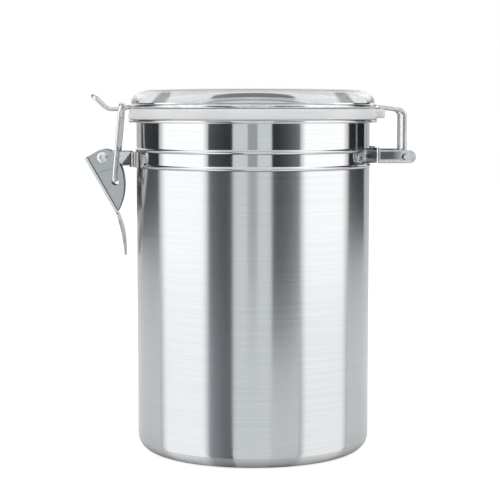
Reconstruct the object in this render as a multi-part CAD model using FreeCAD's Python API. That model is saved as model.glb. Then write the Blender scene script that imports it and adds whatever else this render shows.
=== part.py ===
"""Food canister: a drawn steel can, a clear hinged lid with a gasket, and an over-centre wire latch.

Millimetres. The origin is the middle of the base, on the surface the can stands on, with +Z up.
The hinge is on +X and the latch on -X.
"""
import FreeCAD, Part
import math
import os

Vec = FreeCAD.Vector
UP = Vec(0, 0, 1)
ACROSS = Vec(0, 1, 0)
ORIGIN = Vec(0, 0, 0)

# Can
body_radius = 60.0
wall = 0.6
mouth_height = 170.8
base_corner = 8.0
base_land = 6.0
base_recess = 2.2
base_slope = 3.4
rim_reach = 4.0
rim_depth = 1.8
rim_turn = 1.0
bead_height = 0.65
bead_width = 1.9
bead_pitch = 8.1
bead_drop = 15.5

# Lid
lid_height = 16.0
lid_crown = 1.3
lid_shell = 2.6
lid_overhang = 2.8
lid_corner = 7.2
lid_flange_inset = 0.6
lid_skirt = 2.8
lid_draft = 0.3

# Gasket
gasket_height = 5.3
gasket_web = 1.7
gasket_wall = 1.4
gasket_flare = 0.4
gasket_round = 0.9
gasket_lip = 1.2
gasket_lip_height = 2.2
gasket_tab_reach = 3.9
gasket_tab_width = 9.0
gasket_tab_round = 2.7

# Wire of the lid ring and of the latch loop
wire = 2.1
ring_inset = 0.1

# Hinge
leg_spacing = 30.0
hinge_reach = 16.8
hinge_rise = 0.6
leg_fall = 7.0
leg_root_bend = 4.5
leg_corner = 3.8
leg_foot_bend = 1.6
leg_end_proud = 0.8

# Tongue at the latch side of the ring
tongue_spacing = 7.0
tongue_root_bend = 3.0
tongue_root_fall = 16.5
tongue_knee = 6.9
tongue_knee_bend = 4.0
tongue_fall = 3.0
tongue_run = 14.7
tongue_bend = 6.0
tongue_rise = 43.0
tongue_ramp = 10.4
tongue_tip_bend = 3.2

# Stamped brackets
sheet = 0.9
bracket_bend = 1.6
channel_bend = 0.7
root_strip = 0.5
wing_height = 7.6
hinge_arm_height = 6.6
hinge_arm_end = 5.6
hinge_web_past = 3.2
hinge_corner = 63.0
hinge_wing_angle = 29.3
hinge_wing_rise = 1.45
latch_arm_height = 7.4
latch_arm_drop = 0.6
latch_arm_end = 3.6
latch_web_short = 4.0
latch_corner = 61.6
latch_wing_angle = 23.0
latch_wing_drop = 1.2
latch_arm_half_width = 6.0
panel_depth = 0.25
panel_margin = 0.6
panel_sill = 1.9
panel_length = 10.7
weld_radius = 1.4
weld_depth = 0.2

# Latch lever
rivet_reach = 17.1
rivet_radius = 1.5
rivet_head_radius = 2.7
rivet_head_height = 0.9
rivet_crown = 0.6
lever_lean = 29.3
lever_back = 8.4
lever_front = 6.1
lever_head = 4.1
lever_corner = 6.8
lever_shoulder = 3.5
lever_length = 28.6
lever_bend = 1.8
lever_panel_start = 5.5
lever_panel_slant = 14.0
lever_panel_edge = 6.2
tail_length = 22.5
tail_turn = 19.3
tail_bow = 1.0
tail_neck_width = 10.4
tail_width = 14.0
tail_tip_width = 6.0
tail_belly = 11.2
tail_toe = 2.7

# Latch loop
loop_hole_along = 13.3
loop_hole_across = -0.6
loop_hook_reach = 7.4
loop_corner = 5.0
loop_foot_bend = 1.5
loop_end_inside = 1.4

# Clearances
seat_gap = 0.05
groove_gap = 0.15
gasket_gap = 0.1
rivet_fit = 0.02
lever_fit = 0.05
hinge_fit = 0.08
loop_hole_play = 0.8
loop_seat_gap = 0.1
side_gap = 0.3
hook_gap = 0.5

# Heights and places that follow
wire_r = wire / 2
fixture_height = mouth_height - bead_drop - bead_pitch / 2
bead_heights = [fixture_height - bead_pitch / 2, fixture_height + bead_pitch / 2]
bead_round = (bead_height**2 + (bead_width / 2) ** 2) / (2 * bead_height)
bead_middle = body_radius + bead_height - bead_round
rim_radius = body_radius + rim_reach
lid_edge_radius = body_radius + lid_overhang
lid_flange_radius = lid_edge_radius - lid_flange_inset
lid_cavity_radius = lid_flange_radius - lid_skirt
ring_radius = lid_edge_radius - ring_inset
gasket_top = mouth_height + gasket_height
ring_height = gasket_top + groove_gap + wire_r
lid_top = mouth_height + lid_height
hinge_x = body_radius + hinge_reach
hinge_height = fixture_height + hinge_rise
rivet_x = -(body_radius + rivet_reach)
hinge_arm_half_width = leg_spacing / 2 + wire_r + side_gap + sheet
lever_half_width = latch_arm_half_width + side_gap + sheet
rivet_half_length = lever_half_width + side_gap + rivet_head_height
loop_half_width = rivet_half_length + side_gap + wire_r


def polar(radius, degrees):
    """A point of the plan, at an angle from +X."""
    return Vec(radius * math.cos(math.radians(degrees)), radius * math.sin(math.radians(degrees)), 0)


def line(start, end):
    """A straight edge."""
    return Part.LineSegment(start, end).toShape()


def arc(start, through, end):
    """A round edge through three points."""
    return Part.Arc(start, through, end).toShape()


def outline(*corners):
    """A closed face. A corner is a point, or (through, point) where a round edge leads to it."""
    ends = [c[1] if isinstance(c, tuple) else c for c in corners]
    edges = []
    for i, corner in enumerate(corners):
        before = ends[i - 1]
        if isinstance(corner, tuple):
            edges.append(arc(before, corner[0], corner[1]))
        elif (corner - before).Length > 1e-6:
            edges.append(line(before, corner))
    return Part.Face(Part.Wire(edges))


def side(x, z):
    """A point of the upright plane through the hinge and the latch."""
    return Vec(x, 0, z)


def polar_side(radius, degrees):
    """A step in that plane, at an angle from +X towards +Z."""
    return side(radius * math.cos(math.radians(degrees)), radius * math.sin(math.radians(degrees)))


def half_way_up(radius, top, drop):
    """(distance from the axis, height) half way along a round crown that falls by drop at this radius."""
    ball = (radius**2 + drop**2) / (2 * drop)
    angle = math.asin(radius / ball) / 2
    return ball * math.sin(angle), top - ball * (1 - math.cos(angle))


def turned(face):
    """A face of that plane, turned once about the can's axis."""
    return face.revolve(ORIGIN, UP, 360)


def slab(face, half_width):
    """A face of that plane, thickened evenly to both sides."""
    face = face.translated(ACROSS * -half_width)
    return face.extrude(ACROSS * 2 * half_width)


def box(low, high):
    """A block between two corners."""
    size = high - low
    return Part.makeBox(size.x, size.y, size.z, low)


def pin(x, z, radius, half_length):
    """A round bar across the can."""
    return Part.makeCylinder(radius, 2 * half_length, Vec(x, -half_length, z), ACROSS)


def mirrored(shape):
    """The same shape on the other side of that plane."""
    return shape.mirror(ORIGIN, ACROSS)


def bent_path(points, radii):
    """Edges along the points, with a tangent bend of each radius at each inner point."""
    edges, start = [], points[0]
    for before, corner, after, radius in zip(points, points[1:], points[2:], radii):
        back = (before - corner).normalize()
        ahead = (after - corner).normalize()
        half = back.getAngle(ahead) / 2
        leave = corner + back * (radius / math.tan(half))
        join = corner + ahead * (radius / math.tan(half))
        inward = (back + ahead).normalize()
        through = corner + inward * (radius / math.sin(half) - radius)
        if (leave - start).Length > 1e-6:
            edges.append(line(start, leave))
        edges.append(arc(leave, through, join))
        start = join
    if (points[-1] - start).Length > 1e-6:
        edges.append(line(start, points[-1]))
    return edges


def round_wire(edges):
    """A wire bent along tangent edges. Its volume is its section times its length."""
    path = Part.Wire(edges)
    first = path.OrderedEdges[0]
    start = path.OrderedVertexes[0].Point
    heading = first.tangentAt(first.FirstParameter)
    section = Part.Wire(Part.Circle(start, heading, wire_r).toShape())
    solid = path.makePipeShell([section], True, False)
    print("wire volume over section times length", solid.Volume / (math.pi * wire_r**2 * path.Length))
    return solid


def past_beads(gap, turn):
    """Corners along the can's wall past both beads, up (1) or down (-1), moved out by a gap."""
    radius = body_radius + gap
    half = turn * math.sqrt((bead_round + gap) ** 2 - (radius - bead_middle) ** 2)
    corners = []
    for z in bead_heights[::turn]:
        crest = side(bead_middle + bead_round + gap, z)
        corners += [side(radius, z - half), (crest, side(radius, z + half))]
    return corners


def make_can():
    """Drawn can: recessed base, two swaged beads below the neck, and a rim turned out and curled."""
    inner = body_radius - wall
    land_in = body_radius - base_corner - base_land
    panel = land_in - base_slope
    corner = side(body_radius - base_corner, base_corner)
    turn = side(body_radius + rim_turn, mouth_height - wall - rim_turn)
    curl = side(rim_radius - rim_depth / 2, mouth_height - rim_depth / 2)
    face = outline(
        side(0, base_recess),
        side(panel, base_recess),
        side(land_in, 0),
        side(corner.x, 0),
        (corner + polar_side(base_corner, -45), side(body_radius, corner.z)),
        *past_beads(0, 1),
        side(body_radius, turn.z),
        (turn + polar_side(rim_turn, 135), side(turn.x, mouth_height - wall)),
        side(curl.x, mouth_height - wall),
        (curl + Vec(1, 0, 0) * (rim_depth / 2 - wall), side(curl.x, mouth_height - rim_depth + wall)),
        side(curl.x, mouth_height - rim_depth),
        (side(rim_radius, curl.z), side(curl.x, mouth_height)),
        side(turn.x, mouth_height),
        (turn + polar_side(rim_turn + wall, 135), side(inner, turn.z)),
        *past_beads(-wall, -1),
        side(inner, corner.z),
        (corner + polar_side(base_corner - wall, -45), side(corner.x, wall)),
        side(land_in, wall),
        side(panel, base_recess + wall),
        side(0, base_recess + wall),
    )
    return turned(face)


def make_lid():
    """Clear lid: a thin flat dome with a groove for the wire ring and a skirt that the gasket grips."""
    shoulder_z = lid_top - lid_crown
    shoulder = side(lid_edge_radius - lid_corner, shoulder_z - lid_corner)
    groove_bottom = ring_radius - wire_r - groove_gap
    groove_top = ring_height + wire_r + groove_gap
    skirt_bottom = mouth_height + gasket_web
    cavity_corner = lid_corner - lid_shell
    cavity_top = shoulder_z - lid_shell
    cavity_edge = side(lid_cavity_radius - lid_draft - cavity_corner, cavity_top - cavity_corner)
    cavity_crown = side(*half_way_up(cavity_edge.x, lid_top - lid_shell, lid_crown))
    crown = side(*half_way_up(shoulder.x, lid_top, lid_crown))
    outward = polar_side(1, 45)
    face = outline(
        side(0, lid_top),
        side(0, lid_top - lid_shell),
        (cavity_crown, side(cavity_edge.x, cavity_top)),
        (cavity_edge + outward * cavity_corner, side(lid_cavity_radius - lid_draft, cavity_edge.z)),
        side(lid_cavity_radius, skirt_bottom),
        side(lid_flange_radius, skirt_bottom),
        side(lid_flange_radius, gasket_top),
        side(groove_bottom, gasket_top),
        side(groove_bottom, groove_top),
        side(lid_edge_radius, groove_top),
        side(lid_edge_radius, shoulder.z),
        (shoulder + outward * lid_corner, side(shoulder.x, shoulder_z)),
        (crown, side(0, lid_top)),
    )
    return turned(face)


def make_gasket():
    """Soft ring of U section round the lid's skirt, with a pull tab beside the hinge."""
    wall_in = lid_flange_radius + gasket_gap
    outer = wall_in + gasket_wall
    lip_out = lid_cavity_radius - lid_draft - gasket_gap
    lip_in = lip_out - gasket_lip
    web_top = mouth_height + gasket_web
    lip_top = web_top + gasket_lip_height
    round_centre = side(outer - gasket_round, gasket_top - gasket_round)
    face = outline(
        side(lip_in, mouth_height),
        side(outer + gasket_flare, mouth_height),
        side(outer, gasket_top - gasket_round),
        (round_centre + polar_side(gasket_round, 45), side(outer - gasket_round, gasket_top)),
        side(wall_in, gasket_top),
        side(wall_in, web_top),
        side(lip_out, web_top),
        side(lip_out, lip_top),
        (side((lip_in + lip_out) / 2, lip_top + gasket_lip / 2), side(lip_in, lip_top)),
    )
    half = gasket_tab_width / 2
    reach = outer + gasket_flare + gasket_tab_reach
    low = mouth_height + gasket_flare
    straight = half - gasket_tab_round
    shank = reach - gasket_tab_round
    nose = math.sqrt(0.5) * gasket_tab_round
    tab = outline(
        Vec(wall_in, -half, low),
        Vec(shank, -half, low),
        (Vec(shank + nose, -straight - nose, low), Vec(reach, -straight, low)),
        Vec(reach, straight, low),
        (Vec(shank + nose, straight + nose, low), Vec(shank, half, low)),
        Vec(wall_in, half, low),
    ).extrude(UP * (gasket_height - 2 * gasket_flare))
    core = Part.makeCylinder(wall_in + gasket_wall / 2, gasket_height, Vec(0, 0, mouth_height))
    return turned(face).fuse(tab.cut(core)).removeSplitter()


def leaves_ring(spacing, bend, fall, towards):
    """Where a leg leaves the ring: (its end on the ring, the corner that its bend rounds)."""
    slope = math.radians(fall)
    low, high = 0, math.pi / 2
    while high - low > 1e-12:
        angle = (low + high) / 2
        half = math.acos(-math.sin(angle) * math.cos(slope)) / 2
        run = bend / math.tan(half)
        if ring_radius * math.sin(angle) - run * math.cos(angle) > spacing / 2:
            high = angle
        else:
            low = angle
    on_ring = Vec(towards * ring_radius * math.cos(angle), -ring_radius * math.sin(angle), ring_height)
    corner = on_ring + Vec(towards * math.sin(angle), math.cos(angle), 0) * run
    return on_ring, corner


def fallen(start, x, degrees):
    """The point at x on the straight run that falls away from the can at an angle."""
    return Vec(x, start.y, start.z - abs(x - start.x) * math.tan(math.radians(degrees)))


def tongue_corners():
    """The near side of the tongue: (its end on the ring, its root's corner, its knee, its upward bend)."""
    on_ring, root = leaves_ring(tongue_spacing, tongue_root_bend, tongue_root_fall, -1)
    knee = fallen(root, -(body_radius + tongue_knee), tongue_root_fall)
    bend = fallen(knee, -(body_radius + tongue_run), tongue_fall)
    return on_ring, root, knee, bend


def make_lid_wire():
    """One wire: the lid's ring, the hairpin tongue for the latch and the two legs of the hinge."""
    ring_left, tongue_root, knee, bend = tongue_corners()
    tip = bend + polar_side(tongue_ramp, 180 - tongue_rise)
    tongue = bent_path(
        [Vec(tip.x, 0, tip.z), tip, bend, knee, tongue_root, ring_left],
        [tongue_tip_bend, tongue_bend, tongue_knee_bend, tongue_root_bend],
    )

    ring_right, leg_root = leaves_ring(leg_spacing, leg_root_bend, leg_fall, 1)
    foot = Vec(hinge_x, leg_root.y, hinge_height)
    leg = bent_path(
        [ring_right, leg_root, fallen(leg_root, hinge_x, leg_fall), foot,
         foot - ACROSS * (hinge_arm_half_width + leg_end_proud - leg_spacing / 2)],
        [leg_root_bend, leg_corner, leg_foot_bend],
    )

    ring = arc(ring_left, Vec(0, -ring_radius, ring_height), ring_right)
    half = tongue + [ring] + leg
    edges = half + [mirrored(edge) for edge in half]
    return round_wire(Part.sortEdges(edges)[0])


def make_bracket(pivot, arms, wings, half_width, ends, hole_radius, panel_length):
    """Stamped channel on +X: two arms, a web below them, and wings that reach round the can.

    pivot is (x, height), arms (middle, height), wings (corner's x, angle, middle) and ends (arms, web).
    """
    pivot_x, pivot_height = pivot
    arm_middle, arm_height = arms
    corner_x, wing_angle, wing_middle = wings
    end_x, web_end = ends
    seat = body_radius + seat_gap
    face_radius = seat + sheet
    low = arm_middle - arm_height / 2
    high = arm_middle + arm_height / 2

    # Each wing lies along the can, leaves it on a tangent and bends into its arm.
    corner_angle = math.atan2(half_width, corner_x)
    tangent = corner_angle + math.acos(face_radius / math.hypot(corner_x, half_width))
    leaves = polar(1, math.degrees(tangent))
    bend_y = half_width + bracket_bend
    bend_x = (face_radius + bracket_bend - bend_y * math.sin(tangent)) / math.cos(tangent)
    centre = Vec(bend_x, bend_y, 0)
    bend_middle = (Vec(0, -1, 0) - leaves).normalize()
    past_tip = max(math.degrees(tangent), wing_angle) + math.degrees(wing_height / body_radius)
    far_end = polar(1, past_tip)
    far_middle = (leaves + far_end).normalize()
    arm_start = Vec(bend_x, half_width, 0)
    strip = Vec(root_strip, 0, 0)
    inward = Vec(0, -sheet, 0)
    plan = outline(
        leaves * seat,
        (far_middle * seat, far_end * seat),
        far_end * face_radius,
        (far_middle * face_radius, leaves * face_radius),
        centre - leaves * bracket_bend,
        (centre + bend_middle * bracket_bend, arm_start),
        arm_start + strip,
        arm_start + strip + inward,
        arm_start + inward,
        (centre + bend_middle * (bracket_bend + sheet), centre - leaves * (bracket_bend + sheet)),
    )
    wing_low = UP * (wing_middle - wing_height / 2)
    reach = 2 * body_radius
    tip = polar(1, wing_angle)
    kept = outline(ORIGIN, Vec(reach, 0, 0), tip * reach).translated(wing_low).extrude(UP * wing_height)
    kept = kept.fuse(Part.makeCylinder(wing_height / 2, reach, UP * wing_middle, tip))
    root = plan.translated(wing_low).extrude(UP * wing_height).common(kept)
    weld = tip * (face_radius / math.cos(max(0, tangent - math.radians(wing_angle))) - weld_depth)
    root = root.cut(Part.makeCylinder(weld_radius, body_radius, weld + UP * fixture_height, tip))
    beyond = bead_pitch
    can_side = outline(
        side(0, fixture_height - beyond),
        side(seat, fixture_height - beyond),
        *past_beads(seat_gap, 1),
        side(seat, fixture_height + beyond),
        side(0, fixture_height + beyond),
    )
    root = root.cut(turned(can_side))

    # The channel: two arms with round ends and the web between their lower edges.
    end_round = min(end_x - pivot_x, arm_height / 2)
    outer = box(Vec(bend_x, -half_width, low), Vec(end_x, half_width, high))
    outer = outer.makeFillet(sheet + channel_bend, [e for e in outer.Edges if runs_along_x(e, low)])
    inside = half_width - sheet
    inner = box(Vec(bend_x - sheet, -inside, low + sheet), Vec(end_x + sheet, inside, high + sheet))
    inner = inner.makeFillet(channel_bend, [e for e in inner.Edges if runs_along_x(e, low + sheet)])
    nose = math.sqrt(0.5) * end_round
    arm_side = outline(
        side(bend_x - sheet, low),
        side(end_x - end_round, low),
        (side(end_x - end_round + nose, low + end_round - nose), side(end_x, low + end_round)),
        side(end_x, high - end_round),
        (side(end_x - end_round + nose, high - end_round + nose), side(end_x - end_round, high)),
        side(bend_x - sheet, high),
    )
    channel = outer.cut(inner).common(slab(arm_side, half_width))
    channel = channel.cut(box(Vec(web_end, -inside, low - sheet), Vec(end_x + sheet, inside, high)))
    bracket = channel.fuse([root, mirrored(root)]).removeSplitter()
    bracket = bracket.cut(pin(pivot_x, pivot_height, hole_radius, 2 * half_width))
    if panel_length:
        panel_start = bend_x + panel_margin
        for y in (-half_width, half_width - panel_depth):
            bracket = bracket.cut(
                box(
                    Vec(panel_start, y, low + panel_sill),
                    Vec(panel_start + panel_length, y + panel_depth, high - panel_margin),
                )
            )
    return bracket


def runs_along_x(edge, z):
    """Is this straight edge parallel to X, at this height?"""
    low, high = edge.BoundBox.ZMin, edge.BoundBox.ZMax
    return edge.BoundBox.XLength > edge.BoundBox.YLength and abs(low - z) < 1e-6 and abs(high - z) < 1e-6


def make_hinge_bracket():
    """The bracket that the lid wire's two ends turn in. Its web stops the opened lid."""
    return make_bracket(
        (hinge_x, hinge_height),
        (hinge_height, hinge_arm_height),
        (hinge_corner, hinge_wing_angle, fixture_height + hinge_wing_rise),
        hinge_arm_half_width,
        (hinge_x + hinge_arm_end, hinge_x + hinge_web_past),
        wire_r + hinge_fit,
        panel_length,
    )


def make_latch_bracket():
    """The bracket inside the lever, which carries its rivet."""
    bracket = make_bracket(
        (-rivet_x, fixture_height),
        (fixture_height - latch_arm_drop, latch_arm_height),
        (latch_corner, latch_wing_angle, fixture_height - latch_wing_drop),
        latch_arm_half_width,
        (-rivet_x + latch_arm_end, -rivet_x - latch_web_short),
        rivet_radius + rivet_fit,
        0,
    )
    bracket.rotate(ORIGIN, UP, 180)
    return bracket


def make_rivet():
    """Rivet with a low domed head at each end."""
    neck = rivet_half_length - rivet_head_height
    top = rivet_half_length
    dome = outline(
        Vec(0, neck, 0),
        Vec(rivet_head_radius, neck, 0),
        Vec(rivet_head_radius, top - rivet_crown, 0),
        (Vec(*half_way_up(rivet_head_radius, top, rivet_crown), 0), Vec(0, top, 0)),
    ).revolve(ORIGIN, ACROSS, 360)
    rivet = pin(0, 0, rivet_radius, neck).fuse([dome, mirrored(dome)]).removeSplitter()
    rivet.translate(side(rivet_x, fixture_height))
    return rivet


def in_lever(shape):
    """A shape made with the lever upright and its pivot at the origin, put where the lever is."""
    shape.rotate(ORIGIN, ACROSS, -lever_lean)
    shape.translate(side(rivet_x, fixture_height))
    return shape


def make_lever():
    """Stamped channel lever: two bowed cheeks, a back plate and a leaf-shaped finger tail."""
    back, tip = -lever_back, -lever_length
    rise = lever_front + lever_back
    drop = lever_length - lever_shoulder
    bow = (rise**2 + drop**2) / (2 * rise)
    bow_centre = side(lever_front - bow, -lever_shoulder)
    half_turn = math.asin(drop / bow) / 2
    corner = side(lever_front - lever_corner, lever_head - lever_corner)
    cheek = outline(
        side(back, lever_head),
        side(corner.x, lever_head),
        (corner + polar_side(lever_corner, 45), side(lever_front, corner.z)),
        side(lever_front, -lever_shoulder),
        (bow_centre + side(bow * math.cos(half_turn), -bow * math.sin(half_turn)), side(back, tip)),
    )
    outer = slab(cheek, lever_half_width)
    outer = outer.makeFillet(lever_bend, [e for e in outer.Edges if is_upright(e, back)])
    inside = lever_half_width - sheet
    inner = box(
        Vec(back + sheet, -inside, tip - sheet),
        Vec(lever_front + sheet, inside, lever_head + sheet),
    )
    inner = inner.makeFillet(lever_bend - sheet, [e for e in inner.Edges if is_upright(e, back + sheet)])
    lever = outer.cut(inner)

    # Each cheek's face is pressed in a little below the rivet.
    slope = math.tan(math.radians(lever_panel_slant))
    far = lever_front + lever_back
    pressed = outline(
        side(-lever_panel_edge, -lever_panel_start),
        side(far, -lever_panel_start - slope * (far + lever_panel_edge)),
        side(far, tip - sheet),
        side(-lever_panel_edge, tip - sheet),
    ).translated(ACROSS * (lever_half_width - panel_depth)).extrude(ACROSS * sheet)
    lever = lever.cut([pressed, mirrored(pressed)])

    lever = lever.fuse(lever_tail(back, tip)).removeSplitter()
    rivet_hole = pin(0, 0, rivet_radius + lever_fit, 2 * lever_half_width)
    loop_hole_z = -loop_hole_along - loop_hole_play + loop_seat_gap
    loop_hole = pin(loop_hole_across, loop_hole_z, wire_r + loop_hole_play, 2 * lever_half_width)
    return in_lever(lever.cut([rivet_hole, loop_hole]))


def is_upright(edge, x):
    """Is this a straight upright edge at this x?"""
    bound = edge.BoundBox
    return bound.ZLength > bound.YLength and abs(bound.XMin - x) < 1e-6 and abs(bound.XMax - x) < 1e-6


def lever_tail(back, tip):
    """The finger tail: a bowed leaf that curls outwards from the tip of the back plate."""
    turn = math.radians(tail_turn)
    along = side(-math.sin(turn), -math.cos(turn))
    outward = side(-math.cos(turn), math.sin(turn))
    start = side(back, tip)
    end = start + along * tail_length
    middle = (start + end) * 0.5 - outward * tail_bow
    thick = -outward * sheet
    strip = outline(
        start,
        (middle, end),
        end + thick,
        (middle + thick, start + thick),
    )
    overlap = side(back, tip + sheet)
    joint = outline(overlap, start, start + thick, overlap + side(sheet, 0))
    strip = slab(strip, tail_width).fuse(slab(joint, tail_width)).removeSplitter()

    top, foot = tip + sheet, end.z
    neck, wide, blunt = tail_neck_width / 2, tail_width / 2, tail_tip_width / 2
    near = back - tail_length
    belly = tip - tail_belly
    toe = foot + tail_toe

    def front(y, z):
        return Vec(near, y, z)

    leaf = outline(
        front(-neck, top),
        front(-neck, tip),
        (front(-wide, belly), front(-blunt, toe)),
        (front(0, foot), front(blunt, toe)),
        (front(wide, belly), front(neck, tip)),
        front(neck, top),
    ).extrude(Vec(2 * tail_length + lever_back, 0, 0))
    return strip.common(leaf)


def loop_pivot():
    """The axis of the loop's ends, which are pulled up to the tops of the lever's loop holes."""
    lean = math.radians(lever_lean)
    along = side(math.sin(lean), -math.cos(lean)) * loop_hole_along
    across = side(math.cos(lean), math.sin(lean)) * loop_hole_across
    return side(rivet_x, fixture_height) + along + across


def make_loop():
    """The latch's wire loop, from hole to hole of the lever, over the lid wire's tongue."""
    foot = loop_pivot()
    knee = tongue_corners()[2]
    under = fallen(knee, -(body_radius + loop_hook_reach), tongue_fall)
    hook = side(under.x, under.z + wire + hook_gap)
    leg = Vec(0, -loop_half_width, 0)
    end = Vec(0, -(lever_half_width - sheet - loop_end_inside), 0)
    half = [foot + end, foot + leg, hook + leg]
    points = half + [p - Vec(0, 2 * p.y, 0) for p in reversed(half)]
    return round_wire(bent_path(points, [loop_foot_bend, loop_corner, loop_corner, loop_foot_bend]))


pieces = {
    "canister_body": make_can(),
    "hinge_bracket": make_hinge_bracket(),
    "latch_bracket": make_latch_bracket(),
    "latch_rivet": make_rivet(),
    "lid": make_lid(),
    "lid_gasket": make_gasket(),
    "lid_wire": make_lid_wire(),
    "latch_lever": make_lever(),
    "latch_loop": make_loop(),
}

os.makedirs("parts", exist_ok=True)
for name, shape in pieces.items():
    bound = shape.BoundBox
    print(name, "valid", shape.isValid(), "solids", len(shape.Solids), "volume", round(shape.Volume, 2),
          "x", round(bound.XMin, 2), round(bound.XMax, 2), "z", round(bound.ZMin, 2), round(bound.ZMax, 2))
    shape.exportStep("parts/" + name + ".step")
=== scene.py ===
"""A steel food canister with a clear hinged lid and a wire latch, dressed as a studio photograph shows it.

Sizes are millimetres in the classes and metres in the meshes. The front of the canister faces -Y.
"""
import logging
import math
from dataclasses import dataclass
from enum import Enum
from typing import Any, Sequence

import bpy
import numpy as np
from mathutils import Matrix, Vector


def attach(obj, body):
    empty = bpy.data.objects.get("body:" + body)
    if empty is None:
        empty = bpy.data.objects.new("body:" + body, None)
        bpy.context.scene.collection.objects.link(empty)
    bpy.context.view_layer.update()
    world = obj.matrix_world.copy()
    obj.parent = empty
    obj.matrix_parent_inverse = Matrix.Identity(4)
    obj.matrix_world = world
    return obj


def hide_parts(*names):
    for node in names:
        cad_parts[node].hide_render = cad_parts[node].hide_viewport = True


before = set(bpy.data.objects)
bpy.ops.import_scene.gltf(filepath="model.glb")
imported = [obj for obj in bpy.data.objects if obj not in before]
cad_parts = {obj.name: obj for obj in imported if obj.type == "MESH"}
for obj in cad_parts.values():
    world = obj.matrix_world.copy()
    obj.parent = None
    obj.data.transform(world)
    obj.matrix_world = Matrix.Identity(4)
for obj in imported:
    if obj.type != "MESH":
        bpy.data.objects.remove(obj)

Array = np.ndarray
Pair = tuple[float, float]
Triple = tuple[float, float, float]

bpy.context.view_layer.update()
MM = 0.001
TINY = 1e-9
SAME_POINT = 1e-6
NEARLY_STRAIGHT = 1e-4
AXIS_GAP = 0.01
SHARP_DEGREES = 40.0
SLANT = (0.4, 0.7, 0.6)
NOISE_MIDDLE = 0.5
NOISE_SPAN = (0.3, 0.7)
MIX_SHARE, MIX_FROM, MIX_TO, MIX_RESULT = 0, 6, 7, 2
log = logging.getLogger("canister")


class Body(Enum):
    """The bodies that pieces ride on."""

    CANISTER = "canister"
    LID = "lid"
    LOOP = "latch_loop"


class Join(Enum):
    """How a grid of points closes up: an open sheet, an open band, a tube with filled ends, or a ring."""

    SHEET = "sheet"
    BAND = "band"
    TUBE = "tube"
    RING = "ring"


class Cast(Enum):
    """The faint colour cast of a light."""

    NEUTRAL = (1.0, 1.0, 1.0)
    COOL = (0.955, 1.0, 1.01)
    BLUE = (0.935, 1.0, 1.09)


def unit(vectors: Array) -> Array:
    """Vectors scaled to length one, along the last axis."""
    return vectors / np.maximum(np.linalg.norm(vectors, axis=-1, keepdims=True), TINY)


def bent(corners: Sequence[Sequence[float]], radii: Sequence[float], steps: int) -> Array:
    """A path of straight runs joined by round bends.

    At an inner corner with half angle h between its runs, the bend of radius r starts r / tan(h) before
    the corner. Its centre lies r / sin(h) from the corner along the bisector. It sweeps 180 - 2h degrees.

    Args:
        corners: the points that the runs aim at, in two or three dimensions.
        radii: the bend at each inner corner, 0 for a sharp one.
        steps: points along each bend.

    Returns:
        The path's points, one per row, with no point repeated.
    """
    points = np.asarray(corners, float)
    parts = [points[:1]]
    for before, corner, after, radius in zip(points, points[1:], points[2:], radii):
        back, ahead = unit(before - corner), unit(after - corner)
        half = math.acos(np.clip(back @ ahead, -1, 1)) / 2
        if radius <= 0 or half > math.pi / 2 - NEARLY_STRAIGHT:
            parts.append(corner[None])
            continue
        bisector = unit(back + ahead)
        centre = corner + bisector * radius / math.sin(half)
        sideways = unit(ahead - back)
        sweep = np.linspace(-1, 1, steps)[:, None] * (math.pi / 2 - half)
        parts.append(centre + radius * (np.sin(sweep) * sideways - np.cos(sweep) * bisector))
    parts.append(points[-1:])
    path = np.concatenate(parts)
    fresh = np.r_[True, np.linalg.norm(np.diff(path, axis=0), axis=1) > SAME_POINT]
    return path[fresh]


def resampled(path: Array, longest: float) -> Array:
    """The same path with extra points, spread evenly along its longer runs.

    Args:
        path: points, one per row.
        longest: the longest run that may stay.

    Returns:
        The path's points, one per row.
    """
    runs = np.linalg.norm(np.diff(path, axis=0), axis=1)
    counts = np.maximum(np.ceil(runs / longest).astype(int), 1)
    places = np.concatenate([[0.0], np.repeat(1 / counts, counts)]).cumsum()
    stations = np.arange(len(path))
    return np.stack([np.interp(places, stations, column) for column in path.T], axis=1)


def turned(profile: Array, around: int) -> Array:
    """A profile turned about Z: at angle a, the point (r, h) stands at (r cos a, r sin a, h).

    Args:
        profile: rows of distance from the axis and height.
        around: points in a whole turn.

    Returns:
        A grid of points, profile by turn.
    """
    angle = np.linspace(0, 2 * math.pi, around, endpoint=False)
    distance, height = profile[:, :1], profile[:, 1:]
    return np.stack(
        [distance * np.cos(angle), distance * np.sin(angle), height + 0 * angle], axis=-1
    )


def tube(path: Array, radius: float, sides: int = 20, ends: int = 5) -> Array:
    """A round wire: the circle of a radius carried along a path, with half-round ends.

    Each ring is p + r (cos a N + sin a B), where T is the path's direction, N is the part of a fixed
    slanted direction that is square to T, and B = T x N. The radius follows a quarter circle at each end.

    Args:
        path: the wire's middle line, one point per row.
        radius: the wire's radius.
        sides: points round the wire.
        ends: rings in each rounded end.

    Returns:
        A grid of points, rings by sides.
    """
    turn = np.linspace(0, math.pi / 2, ends, endpoint=False)[1:]
    ahead = unit(path[-1] - path[-2])
    behind = unit(path[0] - path[1])
    beyond = radius * np.sin(turn)[:, None]
    start = path[0] + behind * beyond
    finish = path[-1] + ahead * beyond
    line = np.concatenate([start[::-1], path, finish])
    shrink = np.cos(turn)
    size = np.concatenate([shrink[::-1], np.ones(len(path)), shrink])[:, None, None] * radius
    along = unit(np.gradient(line, axis=0))
    slanted = unit(np.array(SLANT))
    normal = unit(slanted - (along @ slanted)[:, None] * along)
    across = np.cross(along, normal)
    angle = np.linspace(0, 2 * math.pi, sides, endpoint=False)[None, :, None]
    return line[:, None] + size * (np.cos(angle) * normal[:, None] + np.sin(angle) * across[:, None])


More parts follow.
